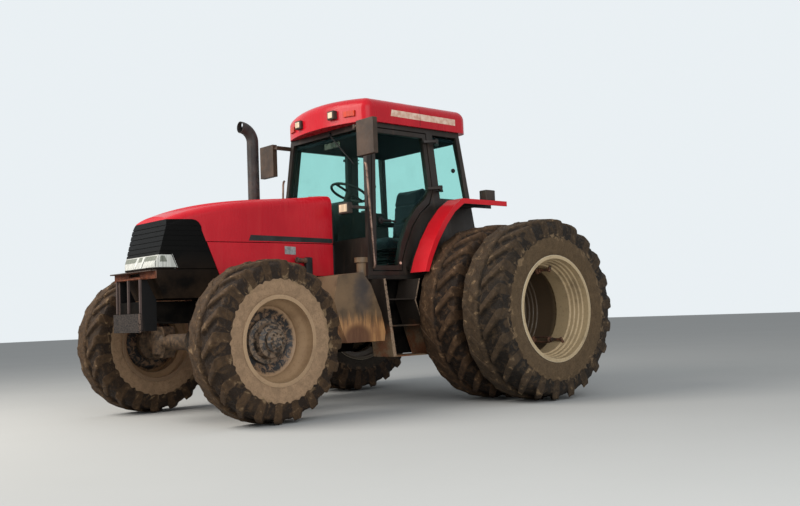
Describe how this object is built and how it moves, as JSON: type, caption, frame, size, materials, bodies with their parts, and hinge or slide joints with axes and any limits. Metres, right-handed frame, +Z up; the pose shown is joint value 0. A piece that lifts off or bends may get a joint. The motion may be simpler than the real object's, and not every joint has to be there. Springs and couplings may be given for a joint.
{
  "type": "farm tractor",
  "caption": "Farm tractor with a glazed cab, long sloping hood, front-wheel drive, twin rear wheels and a rear three-point linkage.",
  "frame": {"origin": "on the ground under the middle of the tractor's box", "axes": "+X forward along the hood, +Y to the tractor's left, +Z up"},
  "size_m": [4.5, 3.997, 3.0448],
  "materials": {
    "red_paint": "faded satin",
    "black_plastic": "dusty matt",
    "chassis_paint": "oily satin",
    "glass": "tinted clear",
    "lamp_lens": "moulded clear",
    "tyre_rubber": "muddy",
    "rim_paint": "dusty",
    "hub_paint": "greasy",
    "rusty_steel": "rusty",
    "mirror_case": "matt",
    "seat_fabric": "woven",
    "tank_plastic": "dusty"
  },
  "bodies": {
    "chassis": {"engine_block": "chassis_paint", "radiator": "chassis_paint", "front_frame": "chassis_paint", "front_axle": "chassis_paint", "transmission": "chassis_paint", "rear_axle_housings": "chassis_paint", "front_bracket": "rusty_steel", "bulkhead": "black_plastic", "side_panels": "red_paint", "nose_lower": "black_plastic", "cab_frame": "chassis_paint", "cab_floor": "chassis_paint", "cab_roof": "red_paint", "windscreen": "glass", "quarter_glass": "glass", "fenders": "red_paint", "fender_lamps": "black_plastic", "post_lamps": "black_plastic", "roof_lamps": "lamp_lens", "mirrors": "mirror_case", "fuel_tanks": "tank_plastic", "steps": "rusty_steel", "seat": "seat_fabric", "dashboard": "black_plastic", "exhaust": "rusty_steel", "lift_housing": "chassis_paint", "drawbar": "rusty_steel"},
    "left_knuckle": {"knuckle_left": "chassis_paint"},
    "right_knuckle": {"knuckle_right": "chassis_paint"},
    "front_left_wheel": {"front_tyre_left": "tyre_rubber", "front_rim_left": "rim_paint", "front_hub_left": "hub_paint"},
    "front_right_wheel": {"front_tyre_right": "tyre_rubber", "front_rim_right": "rim_paint", "front_hub_right": "hub_paint"},
    "rear_left_wheels": {"rear_inner_tyre_left": "tyre_rubber", "rear_outer_tyre_left": "tyre_rubber", "rear_rims_left": "rim_paint", "rear_hub_left": "hub_paint"},
    "rear_right_wheels": {"rear_inner_tyre_right": "tyre_rubber", "rear_outer_tyre_right": "tyre_rubber", "rear_rims_right": "rim_paint", "rear_hub_right": "hub_paint"},
    "steering_rod": {"steering_rod": "rusty_steel"},
    "steering_wheel": {"steering_wheel": "black_plastic"},
    "hood": {"hood_shell": "red_paint", "nose_grille": "black_plastic", "headlamps": "lamp_lens"},
    "left_door": {"door_left": "chassis_paint", "door_glass_left": "glass"},
    "right_door": {"door_right": "chassis_paint", "door_glass_right": "glass"},
    "rear_window": {"rear_window": "glass"},
    "lower_links": {"lower_links": "rusty_steel"},
    "lift_arms": {"lift_arms": "rusty_steel"},
    "lift_rods": {"lift_rods": "rusty_steel"},
    "top_link": {"top_link": "rusty_steel"},
    "pto_shaft": {"pto_shaft": "rusty_steel"}
  },
  "joints": [
    {"name": "front_left_steer", "type": "hinge", "parent": "chassis", "child": "left_knuckle", "pos_m": [1.5, 0.79, 0.685], "axis": [0, 0, 1], "range_deg": [-49, 41]},
    {"name": "front_right_steer", "type": "hinge", "parent": "chassis", "child": "right_knuckle", "pos_m": [1.5, -0.79, 0.685], "axis": [0, 0, 1], "range_deg": [-49, 41]},
    {"name": "steering_rod_slide", "type": "slide", "parent": "chassis", "child": "steering_rod", "axis": [0, 1, 0], "range_m": [-0.13, 0.155]},
    {"name": "steering_wheel_turn", "type": "hinge", "parent": "chassis", "child": "steering_wheel", "pos_m": [-0.27, 0, 2.16], "axis": [-0.4226, 0, 0.9063], "range_deg": [-784, 656]},
    {"name": "front_left_spin", "type": "hinge", "parent": "left_knuckle", "child": "front_left_wheel", "pos_m": [1.48256, 1.03939, 0.685], "axis": [-0.0698, 0.9976, 0], "continuous": true},
    {"name": "front_right_spin", "type": "hinge", "parent": "right_knuckle", "child": "front_right_wheel", "pos_m": [1.51744, -1.03939, 0.685], "axis": [-0.0698, 0.9976, 0], "continuous": true},
    {"name": "rear_left_spin", "type": "hinge", "parent": "chassis", "child": "rear_left_wheels", "pos_m": [-1.15, 0, 0.865], "axis": [0, 1, 0], "continuous": true},
    {"name": "rear_right_spin", "type": "hinge", "parent": "chassis", "child": "rear_right_wheels", "pos_m": [-1.15, 0, 0.865], "axis": [0, 1, 0], "continuous": true},
    {"name": "hood_lift", "type": "hinge", "parent": "chassis", "child": "hood", "pos_m": [0.35, 0, 1.985], "axis": [0, -1, 0], "range_deg": [0, 50]},
    {"name": "left_door_swing", "type": "hinge", "parent": "chassis", "child": "left_door", "pos_m": [-0.865, 0.75941, 2.15], "axis": [0, -0.0782, 0.9969], "range_deg": [0, 45]},
    {"name": "right_door_swing", "type": "hinge", "parent": "chassis", "child": "right_door", "pos_m": [-0.865, -0.75941, 2.15], "axis": [0, -0.0782, -0.9969], "range_deg": [0, 45]},
    {"name": "rear_window_tilt", "type": "hinge", "parent": "chassis", "child": "rear_window", "pos_m": [-1.30511, 0, 2.752], "axis": [0, 1, 0], "range_deg": [0, 50]},
    {"name": "lower_links_lift", "type": "hinge", "parent": "chassis", "child": "lower_links", "pos_m": [-1.27, 0, 0.61], "axis": [0, 1, 0], "range_deg": [-15, 25]},
    {"name": "lift_arms_turn", "type": "hinge", "parent": "chassis", "child": "lift_arms", "pos_m": [-1.55, 0, 1.08], "axis": [0, 1, 0], "range_deg": [-30.5, 50.5]},
    {"name": "lift_rods_swing", "type": "hinge", "parent": "lift_arms", "child": "lift_rods", "pos_m": [-1.88, 0, 1.08], "axis": [0, 1, 0], "range_deg": [-48, 29]},
    {"name": "top_link_lift", "type": "hinge", "parent": "chassis", "child": "top_link", "pos_m": [-1.67, 0, 1.01], "axis": [0, -1, 0], "range_deg": [0, 100]},
    {"name": "pto_spin", "type": "hinge", "parent": "chassis", "child": "pto_shaft", "pos_m": [-1.52, 0, 0.76], "axis": [1, 0, 0], "continuous": true}
  ],
  "couplings": [
    {"joint": "front_right_steer", "follows": "front_left_steer", "ratio": 1},
    {"joint": "steering_rod_slide", "follows": "front_left_steer", "m_per_rad": -0.175},
    {"joint": "steering_wheel_turn", "follows": "front_left_steer", "ratio": 16},
    {"joint": "lift_arms_turn", "follows": "lower_links_lift", "ratio": 2},
    {"joint": "lift_rods_swing", "follows": "lower_links_lift", "ratio": -1.9}
  ]
}
